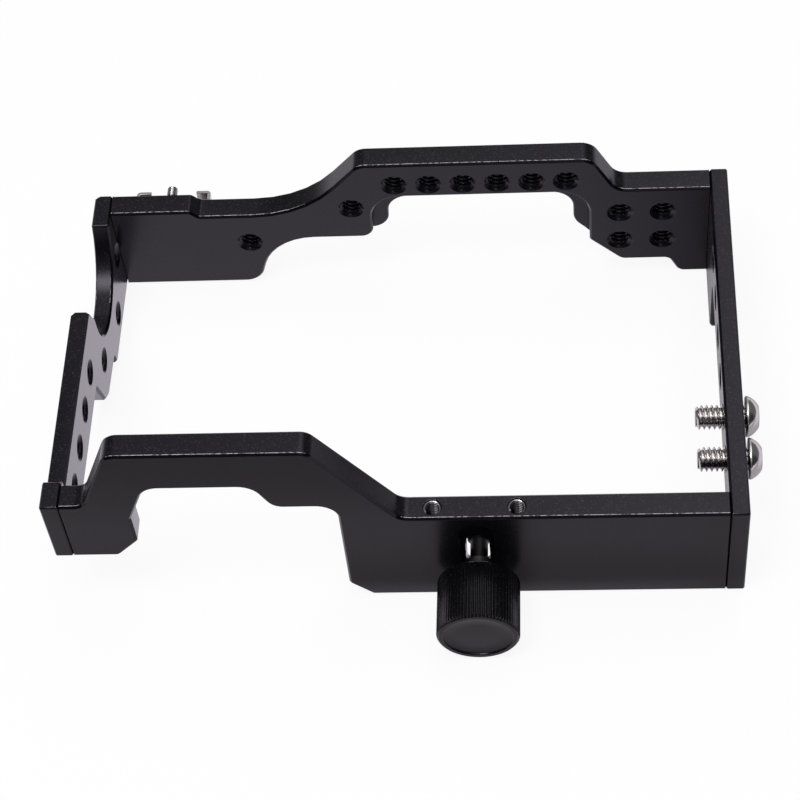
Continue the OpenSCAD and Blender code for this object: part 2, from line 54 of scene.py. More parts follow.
# Sizes that the new pieces share with the frame, in millimetres.
PITCH = 1.27             # quarter inch, 20 threads to the inch
MAJOR_R = 3.1            # of the screws
TAPPED_R = 3.175         # of the accessory holes
MOUTH_R = 3.6            # of their countersinks
CHAMFER = 0.68           # along the plates' outlines
OUTER_CHAMFER = 0.42     # on the side plates' outer faces and along the finder arch's lip
BREAK = 0.14             # along the slot, the bores and the long plates' ends


# ---- Shader nodes ----


class Wire:
    """A shader socket. Sums and products of wires and numbers add Math nodes."""

    def __init__(self, board, socket):
        self.board = board
        self.socket = socket

    def __add__(self, other):
        return self.board.math("ADD", self, other)

    def __sub__(self, other):
        return self.board.math("SUBTRACT", self, other)

    def __rsub__(self, other):
        return self.board.math("SUBTRACT", other, self)

    def __mul__(self, other):
        return self.board.math("MULTIPLY", self, other)

    __radd__ = __add__
    __rmul__ = __mul__


class Board:
    """A node tree that is filled by one method for any node, and by short ones for the
    nodes that come often."""

    def __init__(self, tree):
        self.tree = tree
        tree.nodes.clear()

    def add(self, kind, settings=None, sockets=None, out=0):
        """A node of a kind: its settings first, then its sockets' values or wires."""
        node = self.tree.nodes.new(kind)
        for key, value in (settings or {}).items():
            if key == "stops":
                while len(node.color_ramp.elements) < len(value):
                    node.color_ramp.elements.new(0.5)
                for stop, (position, level) in zip(node.color_ramp.elements, value):
                    stop.position = position
                    stop.color = (level, level, level, 1)
            else:
                setattr(node, key, value)
        for key, value in (sockets or {}).items():
            if isinstance(value, Wire):
                self.tree.links.new(value.socket, node.inputs[key])
            else:
                node.inputs[key].default_value = value
        return Wire(self, node.outputs[out]) if len(node.outputs) else None

    def math(self, operation, *values):
        return self.add("ShaderNodeMath", {"operation": operation}, dict(enumerate(values)))

    def ramp(self, value, *stops):
        """A level that runs in straight lines between stops (value, level), and stays at
        the outer stops' levels beyond them. Values are 0 to 1."""
        return self.add("ShaderNodeValToRGB", {"stops": stops}, {0: value})

    def mix(self, share, first, second):
        """The first colour where share is 0, the second where it is 1."""
        return self.add(
            "ShaderNodeMix", {"data_type": "RGBA"}, {0: share, 6: first, 7: second}, out=2
        )

    def noise(self, place, scale, detail=2.0):
        """Soft noise, its scale in waves to the metre."""
        return self.add(
            "ShaderNodeTexNoise", None, {"Vector": place, "Scale": scale, "Detail": detail}
        )

    def parts(self, vector, *indices):
        """Some of a vector's three parts, by index."""
        return [
            self.add("ShaderNodeSeparateXYZ", None, {0: vector}, out=i) for i in indices
        ]


def rgb(red, green, blue):
    return (red, green, blue, 1.0)


def shade(tone, share):
    """A tone of three parts, made darker or paler by a share."""
    return tuple(share * c for c in tone) + (1.0,)


# ---- Finishes ----

# Linear colours.
BLACK = (0.0034, 0.0029, 0.0050)         # of the plates' anodising
KNOB_BLACK = (0.0030, 0.0027, 0.0036)
OXIDE_BLACK = (0.003, 0.003, 0.0033)
NYLON_BLACK = (0.0025, 0.0025, 0.0027)
BRIGHT_STEEL = (0.66, 0.63, 0.62)
DULL_STEEL = (0.10, 0.10, 0.10)
PAINTED_GLINT = rgb(0.038, 0.036, 0.040)         # painted glint: a speck of painted highlight
PAINTED_EDGE_HIGHLIGHT = rgb(0.55, 0.53, 0.56)             # painted highlight along a chamfer's upper facet
UNSHADED_WIRE = rgb(0.55, 0.52, 0.53)
# painted shade of the turns deeper in the hole
SHADED_WIRE = rgb(0.06, 0.055, 0.06)
VIOLET = rgb(0.90, 0.84, 1.0)            # tint of what the anodising mirrors
WHITE = rgb(1, 1, 1)

SEAL_IOR = 1.15          # of the sealed skin over the anodising, which shines at a low angle
BEADS = 4200.0           # pits of the blasting and its painted glints, in waves to the metre
CLOUDS = 45.0            # slow change of the coat's tone


def new_finish(name):
    """A material's board and the object coordinates that its patterns follow."""
    material = bpy.data.materials.new(name)
    material.use_nodes = True
    board = Board(material.node_tree)
    place = board.add("ShaderNodeTexCoord", out=3)
    return material, board, place


def surface(board, sockets):
    shader = board.add("ShaderNodeBsdfPrincipled", None, sockets)
    board.add("ShaderNodeOutputMaterial", None, {"Surface": shader})


def bump(board, height, distance, strength):
    """Relief from a height of 0 to 1, over a distance in metres."""
    return board.add(
        "ShaderNodeBump", None, {"Strength": strength, "Distance": distance, "Height": height}
    )


def faced(board, axis):
    """How far the surface's own facet turns to an axis of the frame, -1 to 1."""
    facet = board.add("ShaderNodeNewGeometry", out=3)
    return board.parts(facet, axis)[0]


def blasted_black(name, tone, roughness, grain, shine):
    """Bead-blasted black anodising: fine pits, slow cloudiness and, most of all on the
    edges that face up, painted glints: tiny specks of painted highlight in the base colour. The
    grain is the strength of pits and painted glints, the shine that of the mirrored light."""
    material, board, place = new_finish(name)
    pits = board.noise(place, BEADS, 3.0)
    cloud = board.noise(place, CLOUDS)
    cells = board.add("ShaderNodeTexVoronoi", None, {"Vector": place, "Scale": BEADS}, out=1)
    chance = board.add("ShaderNodeSeparateColor", None, {0: cells})
    # painted glints: specks of painted highlight in the base colour, strongest on faces that look
    # up
    painted_glints = board.ramp(chance, (0.90, 0.0), (0.995, 1.0))
    upward = board.ramp(faced(board, 2), (0.5, 0.12), (0.95, 1.0))
    patches = board.ramp(cloud, (0.3, 0.0), (0.7, 1.0))
    ground = board.mix(patches, shade(tone, 0.8), shade(tone, 1.2))
    surface(board, {
        "Base Color": board.mix(grain * painted_glints * upward, ground, PAINTED_GLINT),
        "Roughness": roughness + 0.10 * grain * (pits - 0.5),
        "Specular IOR Level": shine,
        "Specular Tint": VIOLET,
        "Coat Weight": 1.0,
        "Coat IOR": SEAL_IOR,
        "Coat Roughness": roughness,
        "Normal": bump(board, pits, 0.00002, 0.5 * grain),
    })
    return material


def cut_edge_black(name, tone):
    """The chamfers: smoother, deeper black, with a broken line of painted highlight along the
    narrow facet where they meet a face that looks up, on the chamfers that face forward."""
    material, board, place = new_finish(name)
    # painted highlight: the narrow upper facet of forward-facing chamfers is painted bright, in
    # dashes
    facet = board.ramp(faced(board, 2), (0.80, 0.0), (0.88, 1.0))
    front = board.ramp(0.0 - faced(board, 1), (0.1, 0.0), (0.3, 1.0))
    highlight_dashes = board.ramp(board.noise(place, 1000.0, 3.0), (0.40, 0.15), (0.52, 1.0))
    fine = board.noise(place, 2500.0)
    surface(board, {
        "Base Color": board.mix(facet * front * highlight_dashes, shade(tone, 0.6), PAINTED_EDGE_HIGHLIGHT),
        "Roughness": 0.14 + 0.10 * fine,
        "Specular IOR Level": 0.30,
        "Specular Tint": VIOLET,
        "Normal": bump(board, fine, 0.00001, 0.3),
    })
    return material


def bare_metal(name, tone, roughness, strength):
    """Bare steel: a fine uneven tooth of some strength and a faint cloudiness."""
    material, board, place = new_finish(name)
    fine = board.noise(place, 2200.0, 4.0)
    cloud = board.noise(place, 300.0)
    surface(board, {
        "Base Color": board.mix(cloud, shade(tone, 0.8), rgb(*tone)),
        "Metallic": 1.0,
        "Roughness": roughness + 0.16 * (fine - 0.5),
        "Normal": bump(board, fine, 0.00001, strength),
    })
    return material


def coil_wire(name, top):
    """Stainless wire: bright in the turn under the hole's mouth, with painted shade below, where
    the hole shades it. It turns from its own colour to painted shade between 0.5 and 1.2 mm under
    the wire's top."""
    material, board, place = new_finish(name)
    fine = board.noise(place, 2200.0, 3.0)
    height = board.parts(place, 2)[0]
    # painted shade: the wire is painted darker with depth in the hole
    unshaded = board.ramp(0.5 + 100.0 * (height - top), (0.38, 0.0), (0.45, 1.0))
    surface(board, {
        "Base Color": board.mix(unshaded, SHADED_WIRE, UNSHADED_WIRE),
        "Metallic": 1.0,
        "Roughness": 0.12 + 0.10 * fine,
        "Normal": bump(board, fine, 0.00001, 0.3),
    })
    return material


def dark_coat(name, tone, roughness):
    """Black oxide or nylon: an even dark coat with a fine tooth."""
    material, board, place = new_finish(name)
    tooth = board.noise(place, 2600.0, 3.0)
    surface(board, {
        "Base Color": board.mix(tooth, shade(tone, 0.7), rgb(*tone)),
        "Roughness": roughness + 0.12 * (tooth - 0.5),
        "Specular IOR Level": 0.2,
        "Normal": bump(board, tooth, 0.00002, 0.3),
    })
    return material


anodised = blasted_black("anodised", BLACK, roughness=0.26, grain=1.0, shine=0.20)
anodised_edge = cut_edge_black("anodised_edge", BLACK)
anodised_bore = blasted_black("anodised_bore", BLACK, roughness=0.22, grain=0.3, shine=0.3)
knob_black = blasted_black("knob_black", KNOB_BLACK, roughness=0.22, grain=0.5, shine=0.22)
black_oxide = dark_coat("black_oxide", OXIDE_BLACK, roughness=0.45)
nylon_black = dark_coat("nylon_black", NYLON_BLACK, roughness=0.6)
stainless = bare_metal("stainless", BRIGHT_STEEL, roughness=0.17, strength=0.5)
insert_wire = coil_wire("insert_wire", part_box("insert_left")[1].z)
plain_steel = bare_metal("plain_steel", DULL_STEEL, roughness=0.45, strength=0.8)


# ---- Edges of the frame's own nodes ----

OUTER_TURN = math.radians(50)    # an outer edge turns more than this
SOFT_TURN = math.radians(38)     # faces that turn less are shaded as one
FLAT_TURN = math.radians(0.4)    # triangles that turn less are one flat
FACETS = ((0.92, 0.19), (0.19, 0.92))    # where a chamfer's narrow facets end
SAME_PLACE = 1e-6                # metres; triangles' corners that are nearer are one


def geometry_group(name):
    """A modifier's empty node group, with its entry, its exit and two short calls."""
    group = bpy.data.node_groups.new(name, "GeometryNodeTree")
    for flow in ("INPUT", "OUTPUT"):
        group.interface.new_socket("Geometry", in_out=flow, socket_type="NodeSocketGeometry")
    make, link = group.nodes.new, group.links.new
    return group, make, link, make("NodeGroupInput"), make("NodeGroupOutput")


def outer_edges(name, quiet):
    """Gives a bevel weight of 1 to each edge that stands out, and 0 to the others, so
    that the corners of holes and recesses keep their metal. In a quiet box (its middle,
    its half size, its share) the weight is multiplied by the share."""
    group, make, link, entry, leave = geometry_group(name)
    turn = make("GeometryNodeInputMeshEdgeAngle")
    outer = make("FunctionNodeCompare")
    outer.operation = "GREATER_THAN"
    outer.inputs[1].default_value = OUTER_TURN
    link(turn.outputs["Signed Angle"], outer.inputs[0])
    place = make("GeometryNodeInputPosition")
    weight = outer.outputs[0]

    def calculate(operation, *values):
        step = make("ShaderNodeMath")
        step.operation = operation
        for i, value in enumerate(values):
            if isinstance(value, float):
                step.inputs[i].default_value = value
            else:
                link(value, step.inputs[i])
        return step.outputs[0]

    for centre, half, share in quiet:
        reach = place.outputs[0]
        for operation, value in (("SUBTRACT", centre), ("DIVIDE", half), ("ABSOLUTE", None)):
            step = make("ShaderNodeVectorMath")
            step.operation = operation
            link(reach, step.inputs[0])
            if value is not None:
                step.inputs[1].default_value = value
            reach = step.outputs[0]
        parts = make("ShaderNodeSeparateXYZ")
        link(reach, parts.inputs[0])
        largest = calculate("MAXIMUM", parts.outputs[0], parts.outputs[1])
        inside = calculate("LESS_THAN", calculate("MAXIMUM", largest, parts.outputs[2]), 1.0)
        left_over = calculate("SUBTRACT", 1.0, calculate("MULTIPLY", inside, 1.0 - share))
        weight = calculate("MULTIPLY", weight, left_over)
    store = make("GeometryNodeStoreNamedAttribute")
    store.data_type, store.domain = "FLOAT", "EDGE"
    store.inputs["Name"].default_value = "bevel_weight_edge"
    link(entry.outputs[0], store.inputs["Geometry"])
    link(weight, store.inputs["Value"])
    link(store.outputs[0], leave.inputs[0])
    return group


def sharp_by_angle():
    """Shades faces smooth, and keeps an edge sharp where it turns more than SOFT_TURN."""
    group, make, link, entry, leave = geometry_group("sharp_by_angle")
    faces, edges = make("GeometryNodeSetShadeSmooth"), make("GeometryNodeSetShadeSmooth")
    edges.domain = "EDGE"
    turn = make("GeometryNodeInputMeshEdgeAngle")
    within = make("FunctionNodeCompare")
    within.operation = "LESS_THAN"
    within.inputs[1].default_value = SOFT_TURN
    link(turn.outputs[0], within.inputs[0])
    link(entry.outputs[0], faces.inputs["Geometry"])
    link(faces.outputs[0], edges.inputs["Geometry"])
    link(within.outputs[0], edges.inputs["Shade Smooth"])
    link(edges.outputs[0], leave.inputs[0])
    return group


shading = sharp_by_angle()


def ease_edges(node, width, face, edge, quiet=()):
    """Joins a node's triangles into flats, cuts a chamfer with a narrow facet on either
    side of it along each outer edge, and shades the flats as flats."""
    mesh = node.data
    mesh.materials.clear()
    mesh.materials.append(face)
    mesh.materials.append(edge)
    mesh.polygons.foreach_set("material_index", np.zeros(len(mesh.polygons), np.int32))
    weld = node.modifiers.new("weld", "WELD")
    weld.merge_threshold = SAME_PLACE
    flats = node.modifiers.new("flats", "DECIMATE")
    flats.decimate_type = "DISSOLVE"
    flats.angle_limit = FLAT_TURN
    marks = node.modifiers.new("marks", "NODES")
    marks.node_group = outer_edges("edges_of_" + node.name, quiet)
    bevel = node.modifiers.new("chamfer", "BEVEL")
    bevel.width = width * MM
    bevel.offset_type = "OFFSET"
    bevel.limit_method = "WEIGHT"
    bevel.segments = 3
    bevel.profile_type = "CUSTOM"
    profile = bevel.custom_profile
    profile.points[0].location, profile.points[1].location = (1.0, 0.0), (0.0, 1.0)
    for corner in FACETS:
        profile.points.add(*corner)
    profile.update()
    bevel.use_clamp_overlap = False
    bevel.material = 1
    bevel.loop_slide = False
    smooth = node.modifiers.new("shading", "NODES")
    smooth.node_group = shading
    normals = node.modifiers.new("normals", "WEIGHTED_NORMAL")
    normals.keep_sharp = True


def box_about(name, grow, width):
    """A quiet box about a node, grown by some millimetres each way. Its share leaves a
    chamfer of a width in millimetres."""
    low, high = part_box(name)
    return (low + high) / 2, (high - low) / 2 + Vector(grow) * MM, width / CHAMFER


def box_at(name, place, half, width):
    """A quiet box with its middle at a place (None: the node's own middle) and its half
    size in millimetres (None: the whole node). Its share leaves a chamfer of a width."""
    low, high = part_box(name)
    centre, reach = (low + high) / 2, 1.1 * (high - low) / 2
    for i in range(3):
        centre[i] = centre[i] if place[i] is None else place[i]
        reach[i] = reach[i] if half[i] is None else half[i] * MM
    return centre, reach, width / CHAMFER


def plate_ends(name):
    """A long plate's two ends, which are butted and not chamfered."""
    return [box_at(name, (end.x, None, None), (0.1, None, None), BREAK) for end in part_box(name)]


def outer_side(name, side):
    """A side plate's outer face, with the mouths of its corner screws."""
    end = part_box(name)[1 if side == "right" else 0].x
    heads = [box_about(n, (1, 1, 1), BREAK) for n in nodes if n.startswith("screw_") and side in n]
    return [box_at(name, (end, None, None), (1.3, None, None), OUTER_CHAMFER)] + heads


def plate_edges(name, quiet):
    ease_edges(nodes[name], CHAMFER, anodised, anodised_edge, quiet)


LIP_Y = 59.15 * MM                          # the finder arch's step
TIPS = ((14.8, 37.5), (-39.5, 39.5))        # the left plate's cut corners, in Y and Z (mm)
plate_edges("bottom_plate", plate_ends("bottom_plate") + [
    box_about("insert_left", (1, 1, 1), BREAK), box_about("insert_right", (1, 1, 1), BREAK),
    box_about("slot_washer", (0.6, 8, 19), 0.0),
])
plate_edges("top_plate", plate_ends("top_plate") + [
    box_at("top_plate", (None, LIP_Y, None), (None, 0.1, None), OUTER_CHAMFER),
    box_about("cold_shoe", (1, 3, 1), OUTER_CHAMFER),
    box_about("shoe_stop_screw", (1, 1, 1), BREAK),
])
plate_edges("left_plate", outer_side("left_plate", "left") + [
    box_at("left_plate", (None, y * MM, z * MM), (None, 2.5, 2.5), 0.0) for y, z in TIPS
])
plate_edges("right_plate", outer_side("right_plate", "right"))

# The small parts: a node, the width of its broken edges in millimetres, its finish.
SMALL_PARTS = [(name, 0.12, black_oxide) for name in nodes if name.startswith("screw_")] + [
    ("knob_washer", 0.12, nylon_black),
    ("slot_washer", 0.12, plain_steel),
    ("cold_shoe", 0.14, stainless),
    ("shoe_screws", 0.06, stainless),
]
for name, width, finish in SMALL_PARTS:
    ease_edges(nodes[name], width, finish, finish)


# ---- New surfaces ----

SAME_POINT = 2e-7        # metres; a grid's points that are nearer are one

# For each direction: where a turn about it starts, where it is after a quarter, itself.
AXES = {
    "+X": ((0, 1, 0), (0, 0, 1), (1, 0, 0)),
    "-X": ((0, 0, 1), (0, 1, 0), (-1, 0, 0)),
    "+Y": ((0, 0, 1), (1, 0, 0), (0, 1, 0)),
    "-Y": ((1, 0, 0), (0, 0, 1), (0, -1, 0)),
}


def about(around):
    """Evenly spaced angles of one turn, as a row."""
    return (np.arange(around) * TURN / around)[None, :]


def round_grid(radius, height, start, axis):
    """Points of a round surface: at angle a of a row, radius(row, a) out from the axis
    and height(row, a) along it, from start (metres). Radius and height are millimetres."""
    radius, height = np.broadcast_arrays(radius, height)
    side, up, along = (np.array(v, float) for v in AXES[axis])
    angle = np.broadcast_to(about(radius.shape[1]), radius.shape)
    out = np.cos(angle)[..., None] * side + np.sin(angle)[..., None] * up
    return np.array(start) + MM * (radius[..., None] * out + height[..., None] * along)


def grid_faces(rows, around, first, ring):
    """Quads between neighbours of a grid whose points start at number first. Each row
    closes on itself, and the last row closes on the first where ring is true."""
    starts = np.arange(rows if ring else rows - 1)
    row, point = np.meshgrid(starts, np.arange(around), indexing="ij")
    below, after = (row + 1) % rows, (point + 1) % around
    corners = np.stack([
        row * around + point, row * around + after,
        below * around + after, below * around + point,
    ], axis=-1)
    return first + corners.reshape(-1, 4)


def new_piece(name, grids, material, body, ring=False, replaced=()):
    """One mesh from several grids of points, with poles closed and faces outward, that
    rides on a body and stands for the nodes that it replaces."""
    points, faces, first = [], [], 0
    for grid in grids:
        rows, around = grid.shape[:2]
        points.append(grid.reshape(-1, 3))
        faces.append(grid_faces(rows, around, first, ring))
        first += rows * around
    mesh = bpy.data.meshes.new(name)
    mesh.from_pydata(np.concatenate(points).tolist(), [], np.concatenate(faces).tolist())
    shape = bmesh.new()
    shape.from_mesh(mesh)
    bmesh.ops.remove_doubles(shape, verts=shape.verts, dist=SAME_POINT)
    bmesh.ops.recalc_face_normals(shape, faces=shape.faces)
    shape.to_mesh(mesh)
    shape.free()
    mesh.shade_smooth()
    mesh.set_sharp_from_angle(angle=SOFT_TURN)
    mesh.materials.append(material)
    piece = bpy.data.objects.new(name, mesh)
    bpy.context.scene.collection.objects.link(piece)
    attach(piece, body)
    if replaced:
        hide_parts(*replaced)


def thread_wave(height, angle, pitch, root=0.125, crest=0.25):
    """How far up its flank a 60 degree thread is, 0 at the root and 1 at the crest: the
    distance from the helix's root in pitches, less half the root's flat, over the flank.
    The flats are given in pitches."""
    phase = (height / pitch - angle / TURN) % 1.0
    off = np.minimum(phase, 1.0 - phase)
    return np.clip((off - root / 2) / (0.5 - root / 2 - crest / 2), 0.0, 1.0)


def column(*values):
    """Numbers and arrays of heights, one under the other, as a column."""
    return np.concatenate([np.atleast_1d(v).ravel() for v in values])[:, None]


def middle(node, axis):
    """The middle of a node's box in the two directions across an axis, and its low end."""
    low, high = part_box(node)
    centre = (low + high) / 2
    centre["XYZ".index(axis)] = low["XYZ".index(axis)]
    return centre


# ---- Threads in the tapped holes ----


def tapped_thread(centre, axis, thickness):
    """The thread of a tapped hole through a plate, as a closed sleeve. Its inner radius
    is the greater of the countersink's cone at each mouth and the bore less the thread's
    wave; its outer wall lies in the metal."""
    around, rows_a_pitch = 44, 11
    bore, wall = TAPPED_R - 0.02, TAPPED_R + 0.06
    sink = MOUTH_R - TAPPED_R
    depth = 0.541 * PITCH
    rows = int((thickness - 2 * sink) / PITCH * rows_a_pitch)
    height = np.linspace(sink, thickness - sink, rows)[:, None]
    wave = thread_wave(height, about(around), PITCH)
    cone = MOUTH_R - np.minimum(height, thickness - height)
    inner = np.maximum(bore - depth * wave, np.minimum(cone, bore))
    radius = np.vstack([inner, np.full((2, around), wall)])
    height = np.vstack([height, height[-1:], height[:1]])
    start = Vector(centre) - Vector(AXES[axis][2]) * (thickness / 2 * MM)
    return round_grid(radius, height, start, axis)


def mounted_holes(axis):
    """Middles of the tapped holes whose mounts point along an axis, from the record: one
    for each corner of the pattern, which lies level and upright across the axis."""
    level = np.array((0, 1, 0) if "X" in axis else (1, 0, 0), float)
    upright = np.array((0, 0, 1), float)
    found = []
    for mount in frame["record"]["mounts"]:
        dims, centre = mount["dims"], np.array(mount["pos_m"], float)
        tapped = TAPPED_R in (dims.get("hole_r_mm"), dims.get("r_mm"))
        if not tapped or np.dot(mount["axis"], AXES[axis][2]) < 0.9:
            continue
        half_x = dims.get("spacing_x_mm", 0) / 2 * MM
        half_y = dims.get("spacing_y_mm", 0) / 2 * MM
        for i in (-1, 1) if half_x else (0,):
            for j in (-1, 1) if half_y else (0,):
                found.append(centre + i * half_x * level + j * half_y * upright)
    return found


for name, axis, plate in (
    ("top_threads", "+Y", "top_plate"),
    ("left_threads", "-X", "left_plate"),
    ("right_threads", "+X", "right_plate"),
):
    low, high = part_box(plate)
    thickness = (high - low)["XYZ".index(axis[1])] / MM
    sleeves = [tapped_thread(hole, axis, thickness) for hole in mounted_holes(axis)]
    new_piece(name, sleeves, anodised_bore, "frame", ring=True)


# ---- Screws ----


def screw_thread(height, around, pitch, major, start, tip):
    """Radius of a screw's thread at some heights: the wave of a 60 degree thread, 0.6
    pitches deep, cut off by a cone at its start and a cone at its tip."""
    minor = major - 0.60 * pitch
    wave = 1.0 - thread_wave(height, about(around), pitch)
    radius = minor + (major - minor) * wave
    lead = np.minimum(major, minor * 0.9 + np.abs(height - start))
    end = np.minimum(major, major - 0.8 + np.abs(tip - height))
    return np.minimum(radius, np.minimum(lead, end))


def hexagon(around, corner_r):
    """Radius of a hexagon at each angle: its flat's distance over the cosine of the
    angle from the middle of the nearest flat."""
    off = (about(around) + TURN / 12) % (TURN / 6) - TURN / 12
    return corner_r * math.cos(TURN / 12) / np.cos(off)


def button_screw(name):
    """A button head screw: from the middle of its socket's floor up the hexagon, over
    an arc of 40 degrees from the flat crown to the head's rim, in under the head and
    along its thread. The arc's radius is the dome's width over twice the cosine of its
    lean times the sine of its half angle."""
    around, rows_a_pitch = 96, 12
    head_r, head_h, length = 5.2, 3.35, 12.4
    crown_r, rim, socket_r = 2.75, 0.6, 2.3
    ones = np.ones((1, around))
    socket = hexagon(around, socket_r)
    dome_w, dome_h = head_r - crown_r, head_h - rim
    lean, half = math.atan2(dome_h, dome_w), math.radians(20)
    arc_r = dome_w / (2 * math.cos(lean) * math.sin(half))
    a = np.linspace(lean - half, lean + half, 17)[:, None]
    dome_out = crown_r + arc_r * (np.sin(a) - math.sin(lean - half))
    dome_down = arc_r * (math.cos(lean - half) - np.cos(a))
    rows = int(length / PITCH * rows_a_pitch)
    thread = np.linspace(head_h + 0.05, head_h + length, rows)[:, None]
    radius = np.vstack([
        0 * ones, 0.5 * socket, 0.97 * socket, socket, socket, socket * 1.03, crown_r * ones,
        dome_out * ones,
        head_r * ones, (head_r - 0.1) * ones, (head_r - 0.3) * ones, 2.5 * ones,
        screw_thread(thread, around, PITCH, MAJOR_R, head_h - 2, head_h + length),
        0.5 * ones, 0 * ones,
    ])
    height = column(
        2.35, 2.28, 2.2, 2.12, 0.14, 0.02, 0.0,
        dome_down, head_h - 0.3, head_h - 0.09, head_h, head_h,
        thread, head_h + length, head_h + length,
    )
    node = "grip_" + name
    start = middle(node, "X")
    start.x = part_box(node)[1].x
    grid = round_grid(radius, height, start, "-X")
    new_piece(name, [grid], stainless, node, replaced=(node,))


button_screw("screw_near")
button_screw("screw_far")


def captive_screw():
    """The camera screw: a core in the knob, a plain neck and a thread with a coned tip.
    The thread's radius is its wave, held under a cone that rises from the neck and above
    the neck's own radius."""
    around, rows_a_pitch, gap = 48, 14, 0.02
    core_r, core_l = 2.98, 9.0
    neck_r, neck_l = 2.25, 11.5
    length = 6.0
    tip = neck_l + length
    ones = np.ones((1, around))
    thread = np.linspace(neck_l, tip, int(length / PITCH * rows_a_pitch))[:, None]
    wave = screw_thread(thread, around, PITCH, MAJOR_R, neck_l, tip)
    radius = np.vstack([
        0 * ones, core_r * ones, core_r * ones, neck_r * ones, neck_r * ones,
        np.maximum(np.minimum(wave, neck_r + thread - neck_l), neck_r - gap),
        0 * ones,
    ])
    height = column(-core_l, -core_l, -gap, -gap, neck_l - gap, thread, tip)
    start = middle("camera_screw", "Y")
    start.y += core_l * MM
    grid = round_grid(radius, height, start, "+Y")
    new_piece(
        "captive_screw", [grid], black_oxide, "camera_screw",
        replaced=("camera_screw",),
    )


captive_screw()


def stop_screw():
    """The shoe's stop screw: a hexagon socket in a domed end, then its thread's wave,
    0.16 mm deep, under a cone at the tip."""
    around, rows_a_pitch = 36, 9
    major, pitch, depth, socket_r = 1.4, 0.5, 0.16, 0.8
    low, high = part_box("shoe_stop_screw")
    length = (high.y - low.y) / MM
    ones = np.ones((1, around))
    socket = hexagon(around, socket_r)
    thread = np.linspace(0.3, length, int(length / pitch * rows_a_pitch))[:, None]
    wave = thread_wave(thread, about(around), pitch, root=0.15, crest=0.2)
    body = major - depth * (1.0 - wave)
    radius = np.vstack([
        0 * ones, socket, socket, 1.0 * ones, 1.18 * ones, 1.28 * ones,
        np.minimum(body, major - 0.25 + 0.6 * (length - thread)), 0 * ones,
    ])
    height = column(1.2, 1.2, 0.03, 0.0, 0.05, 0.16, thread, length)
    start = middle("shoe_stop_screw", "Y")
    start.y = high.y
    grid = round_grid(radius, height, start, "-Y")
    new_piece("stop_screw", [grid], stainless, "frame", replaced=("shoe_stop_screw",))


stop_screw()


# ---- Wire thread inserts ----


def wire_insert(name, node):
    """A coil of wire of diamond section. At angle t of the helix and angle s of the
    section, a point lies half the section's width times its reach and the cosine of s
    out from the wire's middle, and half its height times its reach and the sine of s
    along the axis. The reach is one over the sum of the sizes of the cosine and the
    sine, to the power 0.75. The coil's two ends close to a point."""
    steps_a_turn, section = 40, 12
    low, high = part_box(node)
    outer, pitch = (high.x - low.x) / 2 / MM, 0.80
    half_w, half_h = 0.25, 0.15
    rise = (high.z - low.z) / MM - 2 * half_h
    turns = rise / pitch
    t = np.linspace(0, TURN * turns, int(turns * steps_a_turn))[:, None]
    s = about(section)
    reach = 1.0 / (np.abs(np.cos(s)) + np.abs(np.sin(s))) ** 0.75
    taper = np.ones_like(t)
    taper[0] = taper[-1] = 0.0
    out = outer - half_w + half_w * reach * np.cos(s) * taper
    up = half_h + rise * t / t[-1] + half_h * reach * np.sin(s) * taper
    centre = (low + high) / 2
    grid = np.stack([
        centre.x + MM * out * np.cos(t), centre.y + MM * out * np.sin(t), low.z + MM * up
    ], axis=-1)
    new_piece(name, [grid], insert_wire, "frame", replaced=(node,))


wire_insert("wire_left", "insert_left")
wire_insert("wire_right", "insert_right")


# ---- Knob ----


def ribbed_knob():
    """The knob: from the middle of its face's recess over the rim, along straight ribs,
    to the back and its bore. Between the ribs the radius falls by their depth times a
    wave: 1.3 times half of one less the cosine, less 0.05, held between 0 and 1. Under
    the rim and the back it is held inside a cone of 45 degrees."""
    ribs, per_rib, rib_depth, rim = 72, 12, 0.45, 0.6
    recess_r, recess = 8.7, 0.5
    bore_r, bore_l = 3.0, 9.0
    around = ribs * per_rib
    low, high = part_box("knob")
    outer, length = (high.x - low.x) / 2 / MM, (high.y - low.y) / MM
    ones = np.ones((1, around))
    groove = np.clip(1.3 * (0.5 - 0.5 * np.cos(ribs * about(around))) - 0.05, 0.0, 1.0)
    ends = np.array([0.0, 0.15, 0.3, 0.45, 0.6])
    body = np.concatenate([ends, [1.2, length / 2, length - 1.2], length - ends[::-1]])[:, None]
    cone = outer - rim + np.minimum(body, length - body)
    ribbed = np.minimum(outer - rib_depth * groove, cone)
    radius = np.vstack([
        0 * ones, 5 * ones, (recess_r - 0.35) * ones, (recess_r - 0.1) * ones,
        recess_r * ones, recess_r * ones, (recess_r + 0.12) * ones, ribbed,
        (bore_r + 0.05) * ones, bore_r * ones, bore_r * ones, 0 * ones,
    ])
    height = column(
        recess, recess, recess, recess - 0.08, recess - 0.3, 0.1, 0.0, body,
        length, length - 0.1, length - bore_l, length - bore_l,
    )
    grid = round_grid(radius, height, middle("knob", "Y"), "+Y")
    new_piece("ribbed_knob", [grid], knob_black, "camera_screw", replaced=("knob",))


ribbed_knob()


# ---- Floor, light and camera ----

PAPER = rgb(0.86, 0.86, 0.86)
SHADED_PAPER = rgb(0.36, 0.35, 0.37)
MIRRORED = rgb(1.0, 0.93, 1.05)          # the paper's glow in the black faces


def ray_kinds(board, *kinds):
    """For each kind of ray, a wire that is 1 where such a ray meets the surface, else 0."""
    outputs = board.add("ShaderNodeLightPath").socket.node.outputs
    return [Wire(board, outputs["Is " + kind + " Ray"]) for kind in kinds]


